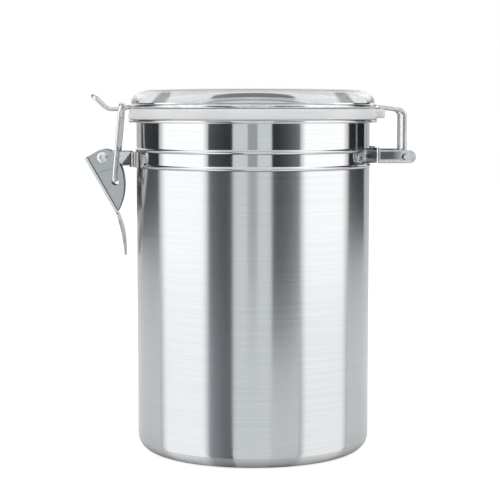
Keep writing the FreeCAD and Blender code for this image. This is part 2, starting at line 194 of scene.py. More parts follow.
def grid_faces(rows: int, columns: int, join: Join, first: int) -> list[list[int]]:
    """The faces of a grid of points.

    Each quad joins a point to the next in its row and to the two beside them in the next row. Except in a
    sheet, the last column meets the first. A tube's end rows are filled. A ring's last row meets its first.

    Args:
        rows: how many rows the grid has.
        columns: how many points are in a row.
        join: how the grid closes up.
        first: the number of the grid's first point.

    Returns:
        The faces' point numbers, quads first.
    """
    index = first + np.arange(rows * columns).reshape(rows, columns)
    right = np.roll(index, -1, axis=1)
    above, above_right = np.roll(index, -1, axis=0), np.roll(right, -1, axis=0)
    quads = np.stack([index, right, above_right, above], axis=-1)
    if join is not Join.RING:
        quads = quads[:-1]
    if join is Join.SHEET:
        quads = quads[:, :-1]
    faces = quads.reshape(-1, 4).tolist()
    if join is Join.TUBE:
        faces += [index[0, ::-1].tolist(), index[-1].tolist()]
    return faces


def surface(name: str, *grids: tuple[Array, Join]) -> bpy.types.Object:
    """A mesh object made of grids of points, with smooth faces and sharp creases.

    Args:
        name: the piece's name.
        grids: point grids in millimetres, each rows by columns by three, with how each closes up.

    Returns:
        The object, at the origin, linked to the scene.
    """
    points, faces = [], []
    for grid, join in grids:
        faces += grid_faces(*grid.shape[:2], join, sum(map(len, points)))
        points.append(grid.reshape(-1, 3) * MM)
    mesh = bpy.data.meshes.new(name)
    mesh.from_pydata(np.concatenate(points).tolist(), [], faces)
    mesh.polygons.foreach_set("use_smooth", np.ones(len(mesh.polygons), bool))
    mesh.set_sharp_from_angle(angle=math.radians(SHARP_DEGREES))
    piece = bpy.data.objects.new(name, mesh)
    bpy.context.scene.collection.objects.link(piece)
    return piece


class Value:
    """A number on a shader's wire. Python's operators add Math nodes."""

    def __init__(self, shader: "Shader", socket: Any) -> None:
        """Wraps one output socket of a shader."""
        self.shader = shader
        self.socket = socket

    def _math(self, operation: str, *terms: Any) -> "Value":
        """A Math node over the given terms."""
        node = self.shader.node("ShaderNodeMath", {"operation": operation}, dict(enumerate(terms)))
        return Value(self.shader, node.outputs[0])

    def __add__(self, other: Any) -> "Value":
        """self + other."""
        return self._math("ADD", self, other)

    __radd__ = __add__

    def __sub__(self, other: Any) -> "Value":
        """self - other."""
        return self._math("SUBTRACT", self, other)

    def __rsub__(self, other: Any) -> "Value":
        """other - self."""
        return self._math("SUBTRACT", other, self)

    def __mul__(self, other: Any) -> "Value":
        """self * other."""
        return self._math("MULTIPLY", self, other)

    __rmul__ = __mul__

    def centred(self) -> "Value":
        """A noise less its middle, so that it swings about 0."""
        return self - NOISE_MIDDLE

    def step(self, low: float, high: float) -> "Value":
        """A smooth step: with t the share of the way from low to high, held to 0..1, it is t^2 (3 - 2t).

        Args:
            low: where the step starts, at 0.
            high: where it ends, at 1.

        Returns:
            The step.
        """
        span = {"Value": self, "From Min": low, "From Max": high, "To Min": 0.0, "To Max": 1.0}
        node = self.shader.node("ShaderNodeMapRange", {"interpolation_type": "SMOOTHSTEP"}, span)
        return Value(self.shader, node.outputs["Result"])

    def past(self, place: float, soft: float) -> "Value":
        """0 below a place and 1 above it, with a soft edge."""
        return self.step(place - soft, place + soft)

    def within(self, low: float, high: float, soft: float) -> "Value":
        """1 from low to high and 0 outside, with soft edges."""
        return self.past(low, soft) * (1 - self.past(high, soft))

    def blend(self, low: Any, high: Any) -> "Value":
        """The number this far from low to high."""
        return low + self * (high - low)

    def colour(self, low: Any, high: Any) -> Any:
        """The colour this far from one colour or colour socket to another."""
        ends = {MIX_SHARE: self, MIX_FROM: low, MIX_TO: high}
        return self.shader.node("ShaderNodeMix", {"data_type": "RGBA"}, ends).outputs[MIX_RESULT]


class Shader:
    """The node tree of a material or of the world."""

    def __init__(self, owner: bpy.types.Material | bpy.types.World, output: str) -> None:
        """Starts with nothing but the output.

        Args:
            owner: the material or world that the tree belongs to.
            output: the type of its output node.
        """
        owner.use_nodes = True
        self.owner = owner
        self.tree = owner.node_tree
        self.tree.nodes.clear()
        self.output = self.node(output)

    @classmethod
    def named(cls, name: str) -> "Shader":
        """The tree of a new material."""
        return cls(bpy.data.materials.new(name), "ShaderNodeOutputMaterial")

    def node(self, kind: str, settings: dict | None = None, inputs: dict | None = None) -> Any:
        """Adds a node.

        Args:
            kind: the node's type.
            settings: its properties, set first.
            inputs: values or links for its sockets, by name or number. Colours have three parts.

        Returns:
            The node.
        """
        made = self.tree.nodes.new(kind)
        for key, value in (settings or {}).items():
            setattr(made, key, value)
        for key, value in (inputs or {}).items():
            socket = made.inputs[key]
            source = value.socket if isinstance(value, Value) else value
            if isinstance(source, bpy.types.NodeSocket):
                self.tree.links.new(source, socket)
            else:
                socket.default_value = (*source, 1.0) if socket.type == "RGBA" else source
        return made

    def vector(self, operation: str, *terms: Any) -> Any:
        """A Vector Math node over the given terms."""
        return self.node("ShaderNodeVectorMath", {"operation": operation}, dict(enumerate(terms)))

    def place(self) -> Any:
        """The Object coordinates, as a vector socket."""
        return self.node("ShaderNodeTexCoord").outputs["Object"]

    def along(self, axis: str) -> Value:
        """How far a point is along X, Y or Z, in millimetres."""
        parts = self.node("ShaderNodeSeparateXYZ", None, {0: self.place()})
        return Value(self, parts.outputs[axis]) * (1 / MM)

    def from_spot(self, spot: Triple) -> Value:
        """How far a point is from a spot or from its mirror images.

        Args:
            spot: the one with no negative part, in millimetres.

        Returns:
            The distance in millimetres.
        """
        folded = self.vector("ABSOLUTE", self.place()).outputs[0]
        away = self.vector("DISTANCE", folded, [part * MM for part in spot])
        return Value(self, away.outputs["Value"]) * (1 / MM)

    def from_axis(self) -> Value:
        """How far a point is from the can's axis, in millimetres."""
        level = self.vector("MULTIPLY", self.place(), (1, 1, 0)).outputs[0]
        return Value(self, self.vector("LENGTH", level).outputs["Value"]) * (1 / MM)

    def facing_up_or_down(self) -> Value:
        """How level a face lies.

        Returns:
            1 if it faces straight up or down, 0 if it is upright.
        """
        normal = self.node("ShaderNodeNewGeometry").outputs["Normal"]
        parts = self.node("ShaderNodeSeparateXYZ", None, {0: normal})
        rise = Value(self, parts.outputs["Z"])
        return rise * rise

    def noise(self, per_mm: Triple, detail: float = 3.0, rough: float = 0.5) -> Value:
        """Cloudy noise.

        Args:
            per_mm: how many waves there are in a millimetre along X, Y and Z.
            detail: how many finer octaves are added.
            rough: how strong each finer octave is.

        Returns:
            The noise, about 0 to 1.
        """
        scaled = self.vector("MULTIPLY", self.place(), [wave / MM for wave in per_mm]).outputs[0]
        inputs = {"Vector": scaled, "Scale": 1.0, "Detail": detail, "Roughness": rough}
        return Value(self, self.node("ShaderNodeTexNoise", None, inputs).outputs[0])

    def rays(self, *kinds: str) -> Value:
        """1 for a ray of one of the given kinds, and otherwise 0."""
        path = self.node("ShaderNodeLightPath")
        return sum(Value(self, path.outputs[f"Is {kind} Ray"]) for kind in kinds).step(0.0, 0.5)

    def bump(self, relief: Value, depth: float) -> Any:
        """A normal that follows a relief of a given depth in millimetres."""
        inputs = {"Height": relief, "Distance": depth * MM, "Strength": 1.0}
        return self.node("ShaderNodeBump", None, inputs).outputs["Normal"]

    def ends_with(self, last: Any) -> Any:
        """Links the last node to the output, and gives the finished material or world."""
        self.tree.links.new(last.outputs[0], self.output.inputs[0])
        return self.owner

    def surface(self, **inputs: Any) -> bpy.types.Material:
        """Ends the material with one shader, whose sockets are named in lower case with underscores."""
        names = [key.replace("_", " ").title().replace("Ior", "IOR") for key in inputs]
        return self.ends_with(self.node("ShaderNodeBsdfPrincipled", None, dict(zip(names, inputs.values()))))


def away_squared(x: Value, z: Value, spot: Pair) -> Value:
    """The squared distance of (x, z) from a spot."""
    return (x - spot[0]) * (x - spot[0]) + (z - spot[1]) * (z - spot[1])


@dataclass(frozen=True)
class BrushedSteel:
    """Sheet steel brushed round the can, and polished from the lower bead up, with a painted shade line
    under each bead.
    """

    dark: Triple = (0.585, 0.592, 0.602)
    light: Triple = (0.635, 0.64, 0.648)
    fine_waves: Triple = (0.02, 0.02, 4.5)
    broad_waves: Triple = (0.012, 0.012, 1.2)
    broad_detail: float = 2.0
    fine_share: float = 0.6
    relief: float = 0.0013
    satin: float = 0.185
    satin_swing: float = 0.05
    satin_metal: float = 0.96
    polished: float = 0.1
    polish_from: float = 147.2
    polish_soft: float = 0.6
    polish_flattens: float = 0.8
    stretch: float = 0.74
    stretch_turn: float = 0.25
    inner_radius: float = 59.7
    inner_soft: float = 0.05
    inside: float = 0.4
    inside_metal: float = 0.55
    # Painted shade: a dark line round the outside just under each bead.
    bead_shade_at: Pair = (146.15, 154.25)
    shade_line_half: float = 0.22
    shade_line_soft: float = 0.15
    shade_line_share: float = 0.6
    bead_shade_colour: Triple = (0.02, 0.02, 0.022)

    def bead_shade(self, height: Value) -> Value:
        """How far a height lies in the painted shade line under a bead."""
        half = self.shade_line_half
        return sum(height.within(at - half, at + half, self.shade_line_soft) for at in self.bead_shade_at)

    def material(self) -> bpy.types.Material:
        """Fine level streaks in colour, roughness and relief, fading where the neck is polished, and a
        painted shade line under each bead.

        Returns:
            The material.
        """
        shader = Shader.named("brushed_body")
        fine = shader.noise(self.fine_waves)
        broad = shader.noise(self.broad_waves, self.broad_detail)
        streaks = self.fine_share * fine + (1 - self.fine_share) * broad
        height = shader.along("Z")
        neck = height.past(self.polish_from, self.polish_soft)
        outside = shader.from_axis().past(self.inner_radius, self.inner_soft)
        rough = neck.blend(self.satin + self.satin_swing * streaks.centred(), self.polished)
        metal = neck.blend(self.satin_metal, 1.0)
        sheet = streaks.step(*NOISE_SPAN).colour(self.dark, self.light)
        # Painted shade under the beads, on the outside only.
        under_bead_shade = self.bead_shade(height) * outside * self.shade_line_share
        return shader.surface(
            base_color=under_bead_shade.colour(sheet, self.bead_shade_colour),
            metallic=outside.blend(self.inside_metal, metal),
            roughness=outside.blend(self.inside, rough),
            anisotropic=self.stretch,
            anisotropic_rotation=self.stretch_turn,
            normal=shader.bump(fine * (1 - self.polish_flattens * neck), self.relief),
        )


@dataclass(frozen=True)
class StampedSteel:
    """Pressed sheet, tumbled to a satin, with faint mottling and scratches, and painted shade lines on the
    lever.
    """

    name: str = "lever_steel"
    dark: Triple = (0.495, 0.51, 0.52)
    light: Triple = (0.57, 0.585, 0.592)
    gloss: float = 0.28
    mottle_waves: Triple = (1.3, 1.3, 1.3)
    mottle_swing: float = 0.08
    mottle_relief: float = 0.7
    scratch_waves: Triple = (0.3, 4.0, 3.0)
    scratch_detail: float = 1.0
    scratch_swing: float = 0.06
    relief: float = 0.0012
    pivot: Pair = (-77.1, 151.25)
    lean: float = 29.3
    # Painted shade lines: one down the bend at the lever's back edge, one across its cheeks.
    fold_at: float = -6.7
    fold_shade_half: float = 0.25
    fold_shade_share: float = 0.85
    shade_line_start: float = -5.5
    shade_line_slope: float = 0.249
    shade_line_half: float = 0.15
    shade_line_soft: float = 0.2
    shade_line_share: float = 0.5
    shade_line_colour: Triple = (0.1, 0.102, 0.106)

    def lines(self, shader: Shader) -> Value:
        """How far a point lies on the lever's two painted shade lines.

        With c and s the cosine and sine of the lever's lean, a point (x, z) from the pivot lies u = cx + sz
        across the lever and w = cz - sx along it. One line runs down the back edge, at u = fold, and the
        other crosses the cheeks at w = start - slope (u - fold).

        Args:
            shader: the material that the painted shade lines are drawn in.

        Returns:
            The share of the painted shade's colour, 0 to 1.
        """
        cosine, sine = math.cos(math.radians(self.lean)), math.sin(math.radians(self.lean))
        x, z = shader.along("X") - self.pivot[0], shader.along("Z") - self.pivot[1]
        across = cosine * x + sine * z
        above = cosine * z - sine * x + self.shade_line_slope * (across - self.fold_at) - self.shade_line_start
        fold = across.within(self.fold_at - self.fold_shade_half, self.fold_at + self.fold_shade_half, self.fold_shade_half)
        cheek_shade = above.within(-self.shade_line_half, self.shade_line_half, self.shade_line_soft)
        cheek = across.step(self.fold_at, self.fold_at + self.shade_line_soft)
        return self.fold_shade_share * fold + self.shade_line_share * (cheek_shade * cheek)

    def material(self) -> bpy.types.Material:
        """Mottled colour, roughness, a shallow orange-peel relief and the lever's painted shade lines.

        Returns:
            The material.
        """
        shader = Shader.named(self.name)
        mottle = shader.noise(self.mottle_waves)
        scratch = shader.noise(self.scratch_waves, self.scratch_detail)
        sheet = mottle.step(*NOISE_SPAN).colour(self.dark, self.light)
        swing = self.mottle_swing * mottle.centred() + self.scratch_swing * scratch.centred()
        peel = self.mottle_relief * mottle + (1 - self.mottle_relief) * scratch
        return shader.surface(
            # Painted shade lines over the mottled sheet.
            base_color=self.lines(shader).colour(sheet, self.shade_line_colour),
            metallic=1.0,
            roughness=self.gloss + swing,
            normal=shader.bump(peel, self.relief),
        )


@dataclass(frozen=True)
class BracketSteel:
    """Bright pressed sheet with burnt spot welds, painted dark reflections in its arms, a painted highlight,
    painted black shade on level edges, in the pin's hole, round the arm's end and under the top, and dark
    upright lines.

    The painted reflections, the painted highlight, the painted shade under the top and the dark upright
    lines lie on the outer faces only, which are outer_face from the middle plane.
    """

    name: str
    weld: Triple
    outer_face: float = 17.25
    outer_soft: Pair = (0.6, 0.3)
    dark: Triple = (0.52, 0.525, 0.535)
    light: Triple = (0.68, 0.685, 0.69)
    gloss: float = 0.13
    mottle_waves: Triple = (0.6, 0.6, 0.6)
    mottle_swing: float = 0.08
    mottle_relief: float = 0.05
    relief: float = 0.16
    burn_radius: float = 3.6
    burn_ragged: float = 2.0
    burn_gloss: float = 0.34
    scorched: Triple = (0.14, 0.14, 0.145)
    spatter_waves: Triple = (1.1, 1.1, 1.1)
    spatter_rough: float = 0.65
    spatter_span: Pair = (0.4, 0.6)
    # Painted dark reflection in each arm's pressed panel: where it lies, its soft edges, its fade towards
    # the end, and its colour.
    panel_x: Pair = (0.0, 0.0)
    panel_z: Pair = (0.0, 0.0)
    panel_soft: Pair = (0.45, 0.4)
    panel_fade: float = 5.0
    panel_end: float = 0.5
    panel_reflection: Triple = (0.11, 0.115, 0.125)
    # Painted dark reflection below a slanted, ragged edge: its span, its edge, softness, raggedness,
    # evenness and colour.
    reflection_x: Pair = (0.0, 0.0)
    reflection_edge: Pair = (200.0, 0.0)
    reflection_soft: Pair = (0.4, 0.3)
    reflection_ragged: float = 3.0
    reflection_thin: float = 0.7
    reflection_dark: Triple = (0.085, 0.09, 0.097)
    # Painted highlight: a pale, hardly metallic strip on the outer faces.
    highlight_x: Pair = (0.0, 0.0)
    highlight_soft: float = 0.25
    highlight_metal: float = 0.1
    painted_highlight: Triple = (0.97, 0.97, 0.975)
    # Painted shade along the top of the outer faces.
    top_shade_x: Pair = (0.0, 0.0)
    top_shade_from: float = 154.2
    top_shade_soft: Pair = (0.3, 0.2)
    # Dark upright lines on the outer faces: their middles and half widths, and their soft edges.
    upright_lines: tuple[Pair, ...] = ()
    upright_line_soft: float = 0.15
    # Painted shade: a dark ring in the pin's hole, a dark rim round the arm's end and dark level faces, all
    # in the black below.
    pin: Pair = (76.8, 151.85)
    pin_ring: Pair = (0.9, 2.7)
    pin_soft: float = 0.3
    pin_fade: Pair = (-0.3, 0.6)
    arm_end: Pair = (79.35, 152.0)
    end_ring: Pair = (7.5, 10.0)
    end_fade: float = 1.0
    end_share: float = 0.6
    level_span: Pair = (0.5, 0.8)
    shade_and_line_black: Triple = (0.06, 0.062, 0.066)

    def outer(self, shader: Shader) -> Value:
        """1 on the outer faces and 0 inside the channel."""
        y = shader.along("Y")
        return (y * y).step(*((self.outer_face - inset) ** 2 for inset in self.outer_soft))

    def burn(self, shader: Shader, mottle: Value) -> Value:
        """How burnt a place is: 1 near a weld and 0 past a ragged edge."""
        away = shader.from_spot(self.weld) + self.burn_ragged * mottle.centred()
        return 1 - away.step(self.burn_radius / 2, self.burn_radius)

    def panel(self, shader: Shader) -> Value:
        """How far a place lies in the painted dark reflection in an arm's pressed panel, which fades towards
        the arm's end.

        Args:
            shader: the material that the panel is drawn in.

        Returns:
            The share of the painted reflection's colour, 0 to 1.
        """
        x, z = shader.along("X"), shader.along("Z")
        fade = x.step(self.panel_x[1] - self.panel_fade, self.panel_x[1]).blend(1.0, self.panel_end)
        soft_x, soft_z = self.panel_soft
        return x.within(*self.panel_x, soft_x) * z.within(*self.panel_z, soft_z) * fade

    def dark_reflection(self, shader: Shader, mottle: Value) -> Value:
        """How far a place lies in a painted dark reflection.

        It covers the places in its span along X that lie lower than h + slope (x - start), where start is
        the span's low end and the edge's pair gives h and the slope. That edge is ragged.

        Args:
            shader: the material that the painted reflection is drawn in.
            mottle: the noise that makes the edge ragged and the painted reflection uneven.

        Returns:
            The share of the painted reflection's colour, 0 to 1.
        """
        x = shader.along("X")
        height, slope = self.reflection_edge
        edge = height + slope * (x - self.reflection_x[0]) + self.reflection_ragged * mottle.centred()
        below = (edge - shader.along("Z")).past(0.0, self.reflection_soft[1])
        return x.within(*self.reflection_x, self.reflection_soft[0]) * below * mottle.blend(self.reflection_thin, 1.0)

    def black(self, shader: Shader, outer: Value) -> Value:
        """Where the sheet is painted black: painted shade on level edges, in the pin's hole, round the arm's
        end and under the top, and dark upright lines.

        The hole and the end are rings about their middles, whose two radii are given squared.

        Args:
            shader: the material that these are drawn in.
            outer: 1 on the outer faces, where the painted shade under the top and the dark upright lines
                lie.

        Returns:
            The share of black, 0 to 1.
        """
        x, z = shader.along("X"), shader.along("Z")
        # Painted shade: a dark ring in the pin's hole, fading out past the pin's middle.
        hole = away_squared(x, z, self.pin).within(*self.pin_ring, self.pin_soft)
        behind_pin = 1 - (x - self.pin[0]).step(*self.pin_fade)
        # Painted shade round the arm's rounded end.
        end = away_squared(x, z, self.arm_end).step(*self.end_ring)
        past_end = self.end_share * (x - self.arm_end[0]).step(0.0, self.end_fade)
        # Painted shade on every face that lies level, such as the arm's top edge.
        level_shade = shader.facing_up_or_down().step(*self.level_span)
        # Painted shade along the top of the outer faces.
        top_shade = x.within(*self.top_shade_x, self.top_shade_soft[0]) * z.past(self.top_shade_from, self.top_shade_soft[1])
        # Dark upright lines on the outer faces.
        upright_lines = sum(x.within(at - half, at + half, self.upright_line_soft) for at, half in self.upright_lines)
        return (hole * behind_pin + end * past_end + level_shade + outer * (top_shade + upright_lines)).step(0.0, 1.0)

    def material(self) -> bpy.types.Material:
        """Mottled sheet, with each mark laid over those before it. A burn also roughens the surface.

        Returns:
            The material.
        """
        shader = Shader.named(self.name)
        mottle = shader.noise(self.mottle_waves)
        spatter = shader.noise(self.spatter_waves, rough=self.spatter_rough)
        outer = self.outer(shader)
        burn = self.burn(shader, mottle)
        # Painted highlight: a pale, hardly metallic upright strip on the outer faces.
        painted_highlight = outer * shader.along("X").within(*self.highlight_x, self.highlight_soft)
        scorch = spatter.step(*self.spatter_span).colour(self.scorched, self.light)
        colour = mottle.step(*NOISE_SPAN).colour(self.dark, self.light)
        # Painted dark reflection below a slanted edge.
        colour = (outer * self.dark_reflection(shader, mottle)).colour(colour, self.reflection_dark)
        colour = burn.colour(colour, scorch)
        # Painted dark reflection in the arm's pressed panel.
        colour = (outer * self.panel(shader)).colour(colour, self.panel_reflection)
        colour = painted_highlight.colour(colour, self.painted_highlight)
        return shader.surface(
            # Painted black shade, and the dark upright lines, over all the rest.
            base_color=self.black(shader, outer).colour(colour, self.shade_and_line_black),
            # The painted highlight is hardly metallic.
            metallic=painted_highlight.blend(1.0, self.highlight_metal),
            roughness=burn.blend(self.gloss, self.burn_gloss) + self.mottle_swing * mottle.centred(),
            normal=shader.bump(self.mottle_relief * mottle + burn * spatter, self.relief),
        )


@dataclass(frozen=True)
class BrightWire:
    """Polished drawn wire."""

    dark: Triple = (0.56, 0.57, 0.585)
    light: Triple = (0.69, 0.70, 0.71)
    gloss: float = 0.14
    gloss_swing: float = 0.1
    streak_waves: Triple = (0.5, 0.5, 0.5)
    relief: float = 0.01

    def material(self) -> bpy.types.Material:
        """A little streaking from the drawing die.

        Returns:
            The material.
        """
        shader = Shader.named("bright_wire")
        streak = shader.noise(self.streak_waves)
        return shader.surface(
            base_color=streak.step(*NOISE_SPAN).colour(self.dark, self.light),
            metallic=1.0,
            roughness=self.gloss + self.gloss_swing * streak.centred(),
            normal=shader.bump(streak, self.relief),
        )


@dataclass(frozen=True)
class FrameFinish:
    """The plain finish that the frame holds for a material slot."""

    slot: str

    def material(self) -> bpy.types.Material:
        """The frame's own material."""
        return bpy.data.materials[self.slot]


@dataclass(frozen=True)
class ClearAcrylic:
    """Clear moulded plastic with faint handling smudges."""

    tint: Triple = (0.955, 0.96, 0.962)
    gloss: float = 0.03
    smudge_waves: Triple = (0.05, 0.05, 0.12)
    smudge_span: Pair = (0.45, 0.75)
    smudge_gloss: float = 0.05
    bends_light: float = 1.49
    clear: float = 0.97

    def material(self) -> bpy.types.Material:
        """A clear body whose roughness drifts with the smudges.

        Returns:
            The material.
        """
        shader = Shader.named("clear_lid")
        smudge = shader.noise(self.smudge_waves).step(*self.smudge_span)
        return shader.surface(
            base_color=self.tint,
            metallic=0.0,
            roughness=self.gloss + self.smudge_gloss * smudge,
            ior=self.bends_light,
            transmission_weight=self.clear,
        )


@dataclass(frozen=True)
class MilkySilicone:
    """Translucent white silicone."""

    dark: Triple = (0.855, 0.87, 0.88)
    light: Triple = (0.93, 0.94, 0.945)
    gloss: float = 0.3
    gloss_swing: float = 0.1
    cloud_waves: Triple = (0.06, 0.06, 0.25)
    grain_waves: Triple = (1.5, 1.5, 1.5)
    grain_detail: float = 2.0
    relief: float = 0.01
    bends_light: float = 1.5
    milky: float = 0.35
    depth: float = 3.0
    depth_by_colour: Triple = (1.0, 0.95, 0.9)

    def material(self) -> bpy.types.Material:
        """Cloudy colour, a satin surface and light that goes a little way in.

        Returns:
            The material.
        """
        shader = Shader.named("silicone")
        cloud = shader.noise(self.cloud_waves)
        grain = shader.noise(self.grain_waves, self.grain_detail)
        return shader.surface(
            base_color=cloud.step(*NOISE_SPAN).colour(self.dark, self.light),
            roughness=self.gloss + self.gloss_swing * grain.centred(),
            subsurface_weight=self.milky,
            subsurface_scale=self.depth * MM,
            subsurface_radius=self.depth_by_colour,
            ior=self.bends_light,
            normal=shader.bump(grain, self.relief),
        )


def fit(piece: bpy.types.Object, finish: Any, body: Body, node: str) -> None:
    """Finishes a piece and lets it stand for a node.

    Args:
        piece: the new piece.
        finish: what makes its material.
        body: the body that it rides on.
        node: the node that it stands for.
    """
    piece.data.materials.append(finish.material())
    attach(piece, body.value)
    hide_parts(node)
    log.info("%s: %d faces, for %s", piece.name, len(piece.data.polygons), node)


def refinish(name: str, finish: Any) -> None:
    """Gives a node that keeps its own shape a better finish.

    Args:
        name: the node's name.
        finish: what makes its material.
    """
    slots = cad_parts[name].data.materials
    slots.clear()
    slots.append(finish.material())
    log.info("%s: kept, finished as %s", name, slots[0].name)


@dataclass
class Can:
    """The drawn can: recessed base, two beads, polished neck and curled rim."""

    radius: float = 60.0
    wall: float = 0.6
    mouth: float = 170.8
    base_corner: float = 8.0
    base_top: float = 20.0
    land: float = 6.0
    recess: float = 2.2
    recess_slope: float = 3.4
    recess_bend: float = 1.5
    bead_heights: Pair = (147.2, 155.3)
    bead_rise: float = 0.63
    bead_width: float = 2.2
    bead_rows: int = 90
    plain_rows: Triple = (30.0, 70.0, 110.0)
    rim_radius: float = 64.0
    rim_depth: float = 1.8
    rim_start: float = 8.0
    rim_bends: tuple[float, ...] = (1.0, 0.2, 0.5, 0.88, 0.88, 1.6)
    bend_steps: int = 8
    base_steps: int = 12
    around: int = 240

    def wall_bulge(self, height: Array) -> Array:
        """How far the wall stands out at each height: the sum of rise * cos^2 over each bead's width."""
        away = np.abs(height[:, None] - np.array(self.bead_heights)) / self.bead_width
        return (self.bead_rise * np.cos(math.pi * np.minimum(away, 0.5)) ** 2).sum(axis=1)

    def rim(self) -> Array:
        """The section of the curled rim, from the outside of the neck over to its inside.

        Returns:
            Rows of (distance from the axis, height).
        """
        inner = self.radius - self.wall
        under = self.mouth - self.wall
        hem = self.rim_radius - self.rim_depth
        corners = [
            (self.radius, under - self.rim_start),
            (self.radius, under),
            (hem, under),
            (hem, self.mouth - self.rim_depth),
            (self.rim_radius, self.mouth - self.rim_depth),
            (self.rim_radius, self.mouth),
            (inner, self.mouth),
            (inner, under - self.rim_start),
        ]
        return bent(corners, self.rim_bends, self.bend_steps)

    def base(self, inset: float, steps: int) -> Array:
        """One side of the base's section, from the axis over the recess and the land to the wall.

        Args:
            inset: how far inside the can's outer surface it lies.
            steps: points along each bend.

        Returns:
            Rows of (distance from the axis, height).
        """
        land_in = self.radius - self.base_corner - self.land
        panel = land_in - self.recess_slope
        side = self.radius - inset
        corners = [
            (0, self.recess + inset),
            (panel, self.recess + inset),
            (land_in, inset),
            (side, inset),
            (side, self.base_top),
        ]
        return bent(corners, [self.recess_bend, self.recess_bend, self.base_corner - inset], steps)

    def profile(self) -> Array:
        """The can's section, from the middle of the underside, up the outside and down the inside.

        Returns:
            Rows of (distance from the axis, height).
        """
        low, high = min(self.bead_heights) - self.bead_width, max(self.bead_heights) + self.bead_width
        heights = np.concatenate([self.plain_rows, np.linspace(low, high, self.bead_rows)])
        outside = np.stack([self.radius + self.wall_bulge(heights), heights], axis=1)
        inside = outside[::-1] - np.array([self.wall, 0])
        floor = self.base(self.wall, self.bend_steps)[::-1]
        underside = self.base(0, self.base_steps)
        profile = np.concatenate([underside, outside, self.rim(), inside, floor])
        return np.maximum(profile, np.array([AXIS_GAP, 0]))

    def dress(self) -> None:
        """Builds and finishes the can."""
        shell = surface("can_shell", (turned(self.profile(), self.around), Join.TUBE))
        fit(shell, BrushedSteel(), Body.CANISTER, "canister_body")


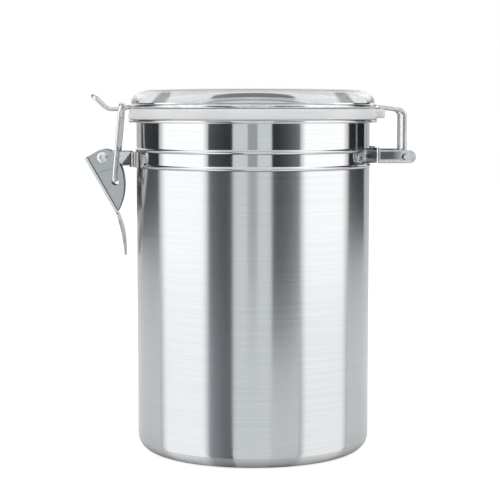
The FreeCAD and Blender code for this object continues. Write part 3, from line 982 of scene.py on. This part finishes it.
@dataclass
class Lid:
    """The clear lid and the soft gasket round its flange."""

    top: float = 186.8
    crown: float = 1.3
    crown_rows: int = 24
    crown_stop: float = 4.0
    edge: float = 62.8
    edge_start: float = 3.0
    corner: float = 7.2
    shell: float = 2.6
    inner_corner: float = 10.5
    ceiling_run: float = 0.5
    ceiling_stop: float = 1.0
    groove: float = 61.5
    groove_low: float = 176.1
    groove_high: float = 178.5
    flange: float = 62.2
    flange_low: float = 172.5
    skirt: float = 2.8
    draft: float = 0.3
    small_bends: tuple[float, ...] = (0.35, 0.2, 0.2, 0.2, 0.3, 0.4)
    gasket_low: float = 170.8
    gasket_wall: float = 1.4
    gasket_flare: float = 0.4
    gasket_gap: float = 0.1
    gasket_lip: float = 1.2
    gasket_lip_top: float = 175.3
    gasket_bends: tuple[float, ...] = (0.5, 0.9, 0.3, 0.3, 0.3, 0.55, 0.55, 0.4)
    tab_reach: float = 3.9
    tab_width: float = 9.0
    tab_bends: tuple[float, ...] = (0.1, 2.7, 2.7, 0.1)
    tab_edge: float = 0.6
    tab_edge_rows: int = 7
    wall_steps: int = 24
    gasket_steps: int = 8
    tab_steps: int = 10
    around: int = 240

    def dome(self, distance: Array, top: float, edge: float) -> Array:
        """Points of a low crown: the height falls from the top as crown (distance / edge)^2."""
        return np.stack([distance, top - self.crown * (distance / edge) ** 2], axis=1)

    def profile(self) -> Array:
        """The lid's section, from the middle of its underside out to its edge and back over the dome.

        Returns:
            Rows of (distance from the axis, height).
        """
        shoulder = self.edge - self.corner
        shoulder_top = self.top - self.crown
        cavity = self.flange - self.skirt
        ceiling_top = shoulder_top - self.shell
        ceiling_edge = cavity - self.draft - self.inner_corner - self.ceiling_run
        over = np.linspace(AXIS_GAP, shoulder - self.crown_stop, self.crown_rows)
        under = np.linspace(ceiling_edge - self.ceiling_stop, AXIS_GAP, self.crown_rows)
        corners = [
            (shoulder - self.edge_start, shoulder_top),
            (self.edge, shoulder_top),
            (self.edge, self.groove_high),
            (self.groove, self.groove_high),
            (self.groove, self.groove_low),
            (self.flange, self.groove_low),
            (self.flange, self.flange_low),
            (cavity, self.flange_low),
            (cavity - self.draft, ceiling_top),
            (ceiling_edge, ceiling_top),
        ]
        bends = [self.corner, *self.small_bends, self.inner_corner]
        side_wall = bent(corners, bends, self.wall_steps)
        crown = self.dome(over, self.top, shoulder)
        ceiling = self.dome(under, self.top - self.shell, ceiling_edge)
        return np.concatenate([crown, side_wall, ceiling])[::-1]

    def gasket_profile(self) -> Array:
        """The gasket's U section round the lid's skirt, with round edges.

        Returns:
            A closed loop, as rows of (distance from the axis, height).
        """
        wall_in = self.flange + self.gasket_gap
        outer = wall_in + self.gasket_wall
        foot = outer + self.gasket_flare
        lip_out = self.flange - self.skirt - self.draft - self.gasket_gap
        lip_in = lip_out - self.gasket_lip
        middle = (lip_in + foot) / 2
        corners = [
            (middle, self.gasket_low),
            (foot, self.gasket_low),
            (outer, self.groove_low),
            (wall_in, self.groove_low),
            (wall_in, self.flange_low),
            (lip_out, self.flange_low),
            (lip_out, self.gasket_lip_top),
            (lip_in, self.gasket_lip_top),
            (lip_in, self.gasket_low),
            (middle, self.gasket_low),
        ]
        return bent(corners, self.gasket_bends, self.gasket_steps)[:-1]

    def tab(self) -> Array:
        """The gasket's pull tab: level slices of a stadium, drawn in by a quarter circle at top and bottom.

        Returns:
            A grid of points, slices by points round a slice.
        """
        half = self.tab_width / 2
        wall = self.flange + self.gasket_gap
        root = wall + self.gasket_wall / 2
        reach = wall + self.gasket_wall + self.gasket_flare + self.tab_reach
        corners = [(root, 0), (root, -half), (reach, -half), (reach, half), (root, half), (root, 0)]
        plan = bent(corners, self.tab_bends, self.tab_steps)[:-1]
        turn = np.linspace(0, math.pi / 2, self.tab_edge_rows)
        draw_in = self.tab_edge * (1 - np.sin(turn))
        rise = self.tab_edge * (1 - np.cos(turn))
        low, high = self.gasket_low + self.gasket_flare, self.groove_low - self.gasket_flare
        inset = np.concatenate([draw_in, draw_in[::-1]])
        level = np.concatenate([low + rise, high - rise[::-1]])
        centre = np.array([root, 0.0])
        flat = centre + (plan - centre) * (1 - inset[:, None, None] / np.array([reach - root, half]))
        height = np.broadcast_to(level[:, None, None], flat.shape[:2] + (1,))
        return np.concatenate([flat, height], axis=-1)

    def dress(self) -> None:
        """Builds and finishes the lid and its gasket."""
        dome = surface("lid_dome", (turned(self.profile(), self.around), Join.TUBE))
        ring = turned(self.gasket_profile(), self.around)
        gasket = surface("gasket_ring", (ring, Join.RING), (self.tab(), Join.TUBE))
        fit(dome, ClearAcrylic(), Body.LID, "lid")
        fit(gasket, MilkySilicone(), Body.LID, "lid_gasket")


@dataclass
class LidWire:
    """One wire: the ring round the lid, the tongue for the latch and the two legs of the hinge."""

    thickness: float = 2.1
    longest_run: float = 2.0
    bend_steps: int = 12
    ring: float = 62.7
    ring_points: int = 140
    height: float = 177.3
    leg_spacing: float = 30.0
    leg_root_bend: float = 4.5
    leg_fall: float = 7.0
    leg_corner: float = 3.8
    leg_foot_bend: float = 1.6
    hinge: Pair = (76.8, 151.85)
    leg_end: float = 18.05
    tongue_spacing: float = 7.0
    tongue_root_bend: float = 3.0
    tongue_root_fall: float = 16.5
    tongue_knee: float = 66.9
    tongue_knee_bend: float = 4.0
    tongue_fall: float = 3.0
    tongue_heel: float = 74.7
    tongue_heel_bend: float = 6.0
    tongue_rise: float = 43.0
    tongue_ramp: float = 10.4
    tongue_tip_bend: float = 3.2
    widest_root: float = 0.6
    root_tries: int = 200001

    def root(self, spacing: float, bend: float, fall: float, towards: int) -> tuple[float, Array]:
        """The start of a leg.

        Its bend leaves the ring at angle a and rounds the corner where the ring's tangent meets the leg. The
        bend starts t before that corner, and a is where ring sin(a) - t cos(a) comes nearest to half the
        spacing.

        Args:
            spacing: the gap between the two legs' middles.
            bend: the radius of the bend.
            fall: the leg's fall in degrees.
            towards: 1 for the hinge's side, -1 for the latch's.

        Returns:
            The angle a, and the corner.
        """
        angles = np.linspace(0, self.widest_root, self.root_tries)
        runs = bend / np.tan(np.arccos(-np.sin(angles) * math.cos(math.radians(fall))) / 2)
        misses = np.abs(self.ring * np.sin(angles) - runs * np.cos(angles) - spacing / 2)
        best = misses.argmin()
        angle, run = float(angles[best]), float(runs[best])
        sine, cosine = math.sin(angle), math.cos(angle)
        on_ring = np.array([towards * self.ring * cosine, -self.ring * sine, self.height])
        return angle, on_ring + run * np.array([towards * sine, cosine, 0])

    @staticmethod
    def fallen(start: Array, x: float, degrees: float) -> Array:
        """The point at x on a run that falls away from the can."""
        return np.array([x, start[1], start[2] - abs(x - start[0]) * math.tan(math.radians(degrees))])

    def near_half(self) -> Array:
        """The wire's front half, from the tongue's tip round the ring to the hinge pin.

        Returns:
            The middle line's points, one per row.
        """
        left, tongue_root = self.root(self.tongue_spacing, self.tongue_root_bend, self.tongue_root_fall, -1)
        right, leg_root = self.root(self.leg_spacing, self.leg_root_bend, self.leg_fall, 1)
        sweep = np.linspace(math.pi + left, 2 * math.pi - right, self.ring_points)
        x, y = self.ring * np.cos(sweep), self.ring * np.sin(sweep)
        ring = np.stack([x, y, 0 * sweep + self.height], axis=1)
        knee = self.fallen(tongue_root, -self.tongue_knee, self.tongue_root_fall)
        heel = self.fallen(knee, -self.tongue_heel, self.tongue_fall)
        rise = math.radians(self.tongue_rise)
        tip = heel + self.tongue_ramp * np.array([-math.cos(rise), 0, math.sin(rise)])
        tongue = bent(
            [(tip[0], 0, tip[2]), tip, heel, knee, tongue_root, ring[0]],
            [self.tongue_tip_bend, self.tongue_heel_bend, self.tongue_knee_bend, self.tongue_root_bend],
            self.bend_steps,
        )
        shoulder = self.fallen(leg_root, self.hinge[0], self.leg_fall)
        foot = np.array([self.hinge[0], leg_root[1], self.hinge[1]])
        leg = bent(
            [ring[-1], leg_root, shoulder, foot, (foot[0], -self.leg_end, foot[2])],
            [self.leg_root_bend, self.leg_corner, self.leg_foot_bend],
            self.bend_steps,
        )
        return resampled(np.concatenate([tongue[:-1], ring, leg[1:]]), self.longest_run)

    def dress(self) -> None:
        """Builds and finishes the whole wire: the front half and its mirror image behind."""
        near = self.near_half()
        far = near[1:] * np.array([1, -1, 1])
        wire = tube(np.concatenate([near[::-1], far]), self.thickness / 2)
        fit(surface("lid_bail", (wire, Join.TUBE)), BrightWire(), Body.LID, "lid_wire")


@dataclass
class Latch:
    """The over-centre latch: its wire loop, and the finishes of its stamped pieces and of the hinge's."""

    thickness: float = 2.1
    longest_run: float = 2.0
    bend_steps: int = 12
    half_width: float = 9.75
    inner_end: float = 4.9
    pivot: Pair = (-71.1145, 139.3578)
    hook: Pair = (-67.4, 178.61)
    corner: float = 5.0
    foot_bend: float = 1.5
    loop_finish: FrameFinish = FrameFinish("bright_wire")
    lever_finish: StampedSteel = StampedSteel()
    rivet_finish: StampedSteel = StampedSteel("rivet_steel", (0.78, 0.785, 0.79), (0.88, 0.885, 0.89), 0.34)
    hinge_finish: BracketSteel = BracketSteel(
        "hinge_steel",
        weld=(53.4, 29.9, 151.25),
        # Painted dark reflections: in the arm's pressed panel, and in an upright strip near the can.
        panel_x=(64.3, 74.9),
        panel_z=(150.5, 154.5),
        reflection_x=(56.6, 62.6),
    )
    bracket_finish: BracketSteel = BracketSteel(
        "bracket_steel",
        weld=(56.1, 23.8, 151.25),
        outer_face=6.0,
        gloss=0.08,
        scorched=(0.5, 0.5, 0.51),
        # A painted dark reflection below a slanted edge, a painted highlight, painted shade along the top
        # and dark upright lines.
        reflection_x=(-66.9, -62.5),
        reflection_edge=(148.4, 1.3),
        reflection_dark=(0.015, 0.015, 0.017),
        highlight_x=(-60.8, -57.8),
        top_shade_x=(-68.5, -57.5),
        upright_lines=((-57.5, 0.45), (-59.6, 0.2)),
    )

    def loop(self) -> Array:
        """The wire loop, from hole to hole of the lever and over the tongue.

        Returns:
            A grid of points, rings by sides.
        """
        (foot_x, foot_z), (hook_x, hook_z) = self.pivot, self.hook
        half = [
            (foot_x, -self.inner_end, foot_z),
            (foot_x, -self.half_width, foot_z),
            (hook_x, -self.half_width, hook_z),
        ]
        corners = half + [(x, -y, z) for x, y, z in reversed(half)]
        path = bent(corners, [self.foot_bend, self.corner, self.corner, self.foot_bend], self.bend_steps)
        return tube(resampled(path, self.longest_run), self.thickness / 2)

    def dress(self) -> None:
        """Builds and finishes the loop, and finishes the stamped pieces."""
        wire = surface("latch_wire", (self.loop(), Join.TUBE))
        fit(wire, self.loop_finish, Body.LOOP, "latch_loop")
        refinish("latch_lever", self.lever_finish)
        refinish("hinge_bracket", self.hinge_finish)
        refinish("latch_bracket", self.bracket_finish)
        refinish("latch_rivet", self.rivet_finish)


def glowing(name: str, grid: Array, join: Join, glow: Array, cast: Cast) -> bpy.types.Object:
    """A sheet that lights nothing and shows only in what mirrors or bends the view.

    Args:
        name: the sheet's name.
        grid: its points in millimetres.
        join: how its grid closes up.
        glow: how much it glows at each point, kept in the mesh as an attribute.
        cast: the colour of its glow.

    Returns:
        The sheet.
    """
    sheet = surface(name, (grid, join))
    sheet.data.attributes.new("glow", "FLOAT", "POINT").data.foreach_set("value", glow.ravel())
    shader = Shader.named(name)
    level = shader.node("ShaderNodeAttribute", {"attribute_name": "glow"}).outputs["Fac"]
    light = shader.node("ShaderNodeEmission", None, {"Color": cast.value, "Strength": level})
    sheet.data.materials.append(shader.ends_with(light))
    sheet.visible_camera = False
    sheet.visible_diffuse = False
    sheet.visible_shadow = False
    return sheet


@dataclass(frozen=True)
class Board:
    """A board beside the set, outside the picture, that the can's side mirrors.

    Its edges are given by where they show on the can, as a share of the can's half width from the middle,
    so a board from -0.4 to -0.2 shows as an upright band on the can's left. Its apron lies on the floor in
    front of it and starts that far from the can. The glow runs from one edge to the other, and the other
    glows are shares of it: at the top, at both edges, on the apron and at the apron's toe.
    """

    name: str
    start: float
    end: float
    reach: float
    low: float
    high: float
    glow: Pair
    cast: Cast = Cast.BLUE
    through_lid: bool = False
    top_glow: float = 1.0
    edge_glow: float = 1.0
    edge: float = 0.12
    apron: float | None = None
    apron_glow: float = 1.0
    toe: float = 10.0
    toe_glow: float = 1.0
    lift: float = 0.5
    columns: int = 51
    can_radius: float = 60.0
    eye: float = 820.0

    def mirrored(self, share: Array) -> tuple[Array, Array]:
        """Where the can mirrors the eye, and which way the mirrored ray leaves, in plan.

        The can's side at share s has the normal n = (s, -sqrt(1 - s^2)) and lies at radius * n. A ray v from
        the eye to that point leaves along v - 2 (v . n) n.

        Args:
            share: places across the can, -1 to 1.

        Returns:
            The places and the directions, a row for each share.
        """
        normal = np.stack([share, -np.sqrt(1 - share**2)], axis=1)
        place = self.can_radius * normal
        sight = unit(place + np.array([0, self.eye]))
        return place, sight - 2 * (sight * normal).sum(axis=1, keepdims=True) * normal

    def section(self) -> Array:
        """The apron, if there is one, and the upright face.

        Returns:
            Rows of (distance along a mirrored ray, height, share of the glow).
        """
        face = [(self.reach, max(self.low, self.lift), 1.0), (self.reach, self.high, self.top_glow)]
        if self.apron is None:
            return np.array(face)
        # A toe that glows less than the rest of the apron is a painted shadow round the can's foot, seen in
        # the can's mirror.
        toe = (self.apron, self.lift, self.apron_glow * self.toe_glow)
        flat = [(away, self.lift, self.apron_glow) for away in (self.apron + self.toe, self.reach)]
        return np.array([toe, *flat, *face])

    def build(self) -> None:
        """Follows every mirrored ray along the section, and glows evenly from one edge to the other."""
        across = np.linspace(0, 1, self.columns)
        inward = np.minimum(np.minimum(across, 1 - across) / self.edge, 1)
        level = np.geomspace(*self.glow, self.columns) * (self.edge_glow + (1 - self.edge_glow) * inward)
        place, leaves = self.mirrored(np.linspace(self.start, self.end, self.columns))
        away, height, share = self.section().T
        plan = place[:, None] + away[None, :, None] * leaves[:, None]
        rise = np.broadcast_to(height[None, :, None], plan.shape[:2] + (1,))
        grid = np.concatenate([plan, rise], axis=-1)
        sheet = glowing(self.name, grid, Join.SHEET, np.outer(level, share), self.cast)
        sheet.visible_transmission = self.through_lid


@dataclass(frozen=True)
class Lamp:
    """A square soft lamp that faces the can's middle and is not itself mirrored."""

    name: str
    at: Triple
    size: float
    power: float = 5.0
    aim: Triple = (0.0, 0.0, 100.0)

    def build(self) -> None:
        """Hangs the lamp."""
        light = bpy.data.lights.new(self.name, "AREA")
        light.size = self.size * MM
        light.energy = self.power
        lamp = bpy.data.objects.new(self.name, light)
        lamp.location = Vector(self.at) * MM
        lamp.rotation_euler = (Vector(self.aim) - Vector(self.at)).to_track_quat("-Z", "Y").to_euler()
        lamp.visible_camera = False
        lamp.visible_glossy = False
        lamp.visible_transmission = False
        bpy.context.scene.collection.objects.link(lamp)


@dataclass
class Studio:
    """The white set: floor, ceiling, surrounding light, soft lamps, boards and camera."""

    floor_half: float = 60000.0
    floor_colour: Triple = (0.5, 0.5, 0.5)
    floor_glow: float = 0.8
    floor_glow_mirrored: float = 0.31
    foot_shade: Pair = (54.0, 66.0)
    ambient: float = 0.52
    backdrop: Triple = (1.0, 1.0, 1.0)
    ceiling_height: float = 2200.0
    ceiling_around: int = 48
    ceiling_rings: tuple[Pair, ...] = (
        (1.0, 0.4), (120.0, 0.4), (200.0, 0.11), (800.0, 0.11), (880.0, 0.8), (2350.0, 0.8),
        (2550.0, 0.36), (3600.0, 0.36), (3900.0, 0.95), (6000.0, 0.95),
    )
    lens: float = 114.1
    sensor: float = 36.0
    sees_to: float = 200000.0
    camera_at: Triple = (-1.55, -820.0, 177.4)
    tilt: float = 5.19
    lamps: tuple[Lamp, ...] = (
        Lamp("lamp_left", (-900, -500, 900), 600),
        Lamp("lamp_right", (900, -500, 900), 600),
        Lamp("lamp_top", (0, 100, 1300), 700),
    )
    boards: tuple[Board, ...] = (
        Board("board_front_left", -0.361, -0.166, 600, 0, 350, (0.205, 0.07), top_glow=0.05,
              apron=-7, apron_glow=2.0, toe_glow=0.6),
        Board("board_front_right", 0.152, 0.378, 600, 0, 400, (0.045, 0.34), top_glow=0.5,
              apron=420, apron_glow=2.6),
        Board("board_left", -0.772, -0.355, 740, 0, 1800, (1.6, 1.6), Cast.NEUTRAL, True, edge_glow=0.4,
              apron=-6, apron_glow=0.86, toe_glow=0.3),
        Board("board_right", 0.375, 0.786, 740, 0, 1800, (1.6, 1.6), Cast.NEUTRAL, True, edge_glow=0.4,
              apron=-6, apron_glow=0.8, toe_glow=0.3),
        Board("board_rear_left", -0.938, -0.774, 650, 54, 1800, (0.085, 0.04)),
        Board("board_rear_right", 0.787, 0.932, 650, 54, 1800, (0.04, 0.02)),
        Board("board_edge_left", -0.999, -0.938, 650, 80, 118, (0.05, 0.05)),
        Board("board_front", -0.16, 0.146, 600, 0, 500, (0.93, 0.93), Cast.COOL,
              apron=-6, toe_glow=0.25),
        Board("board_eye", -0.043, 0.035, 580, 20, 330, (0.5, 0.5), Cast.COOL),
    )

    def floor(self) -> None:
        """A pale floor that takes the shadow, and glows to the camera and, clear of the can, in mirrors."""
        side = np.linspace(-self.floor_half, self.floor_half, 3)
        across, along = np.meshgrid(side, side)
        sheet = surface("floor", (np.stack([across, along, 0 * across], axis=-1), Join.SHEET))
        shader = Shader.named("floor_paper")
        paper = shader.node("ShaderNodeBsdfDiffuse", None, {"Color": self.floor_colour}).outputs[0]
        straight = shader.rays("Camera", "Transmission") * self.floor_glow
        clear_of_can = shader.from_axis().step(*self.foot_shade)
        glow = straight + shader.rays("Glossy") * clear_of_can * self.floor_glow_mirrored
        light = shader.node("ShaderNodeEmission", None, {"Color": Cast.COOL.value, "Strength": glow})
        both = shader.node("ShaderNodeAddShader", None, {0: paper, 1: light.outputs[0]})
        sheet.data.materials.append(shader.ends_with(both))

    def ceiling(self) -> None:
        """A round ceiling of lighter and darker rings, which shows only in what the lid bends upwards."""
        radius, glow = np.array(self.ceiling_rings).T
        grid = turned(np.stack([radius, 0 * radius + self.ceiling_height], axis=1), self.ceiling_around)
        sheet = glowing("ceiling", grid, Join.BAND, np.repeat(glow, self.ceiling_around), Cast.COOL)
        sheet.visible_glossy = False

    def world(self) -> None:
        """White to the camera and in reflections, and softer as a light."""
        world = bpy.data.worlds.new("studio")
        bpy.context.scene.world = world
        shader = Shader(world, "ShaderNodeOutputWorld")
        strength = shader.rays("Camera", "Glossy", "Transmission").blend(self.ambient, 1.0)
        light = {"Color": self.backdrop, "Strength": strength}
        shader.ends_with(shader.node("ShaderNodeBackground", None, light))

    def camera(self) -> None:
        """The photograph's viewpoint: level with the lid, looking a little down."""
        data = bpy.data.cameras.new("camera")
        data.lens = self.lens
        data.sensor_width = self.sensor
        data.clip_end = self.sees_to * MM
        camera = bpy.data.objects.new("camera", data)
        camera.location = Vector(self.camera_at) * MM
        camera.rotation_euler = (math.radians(90 - self.tilt), 0, 0)
        bpy.context.scene.collection.objects.link(camera)
        bpy.context.scene.camera = camera

    def build(self) -> None:
        """Sets up the whole studio."""
        self.floor()
        self.ceiling()
        self.world()
        for item in (*self.boards, *self.lamps):
            item.build()
        self.camera()
        bpy.context.scene.view_settings.view_transform = "Standard"


def main() -> None:
    """Builds the canister's pieces and the studio."""
    logging.basicConfig(level=logging.INFO, format="%(message)s")
    for part in (Can(), Lid(), LidWire(), Latch()):
        part.dress()
    Studio().build()


if __name__ == "__main__":
    main()
